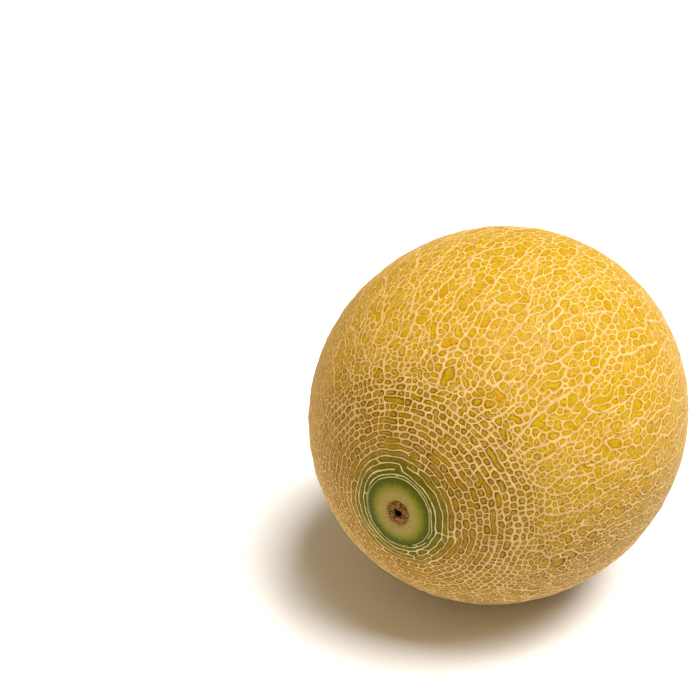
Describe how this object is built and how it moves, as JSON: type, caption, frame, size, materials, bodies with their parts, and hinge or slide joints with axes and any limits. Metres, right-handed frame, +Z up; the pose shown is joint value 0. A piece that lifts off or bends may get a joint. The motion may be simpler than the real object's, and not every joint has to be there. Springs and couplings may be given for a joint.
{
  "type": "galia melon",
  "caption": "Whole netted galia melon lying on its side on a small flat spot, with a corky stem scar at one end and a blossom button at the other.",
  "frame": {"origin": "middle of the bounding box, on the surface that the melon rests on", "axes": "+Z up, +Y along the level stem axis towards the blossom end, so that the stem scar faces -Y, +X to the right when looking along +Y"},
  "size_m": [0.1472, 0.1568, 0.1472],
  "materials": {
    "rind": "waxy golden rind under a corky cream net"
  },
  "bodies": {
    "root": {"melon": "rind"}
  },
  "joints": []
}
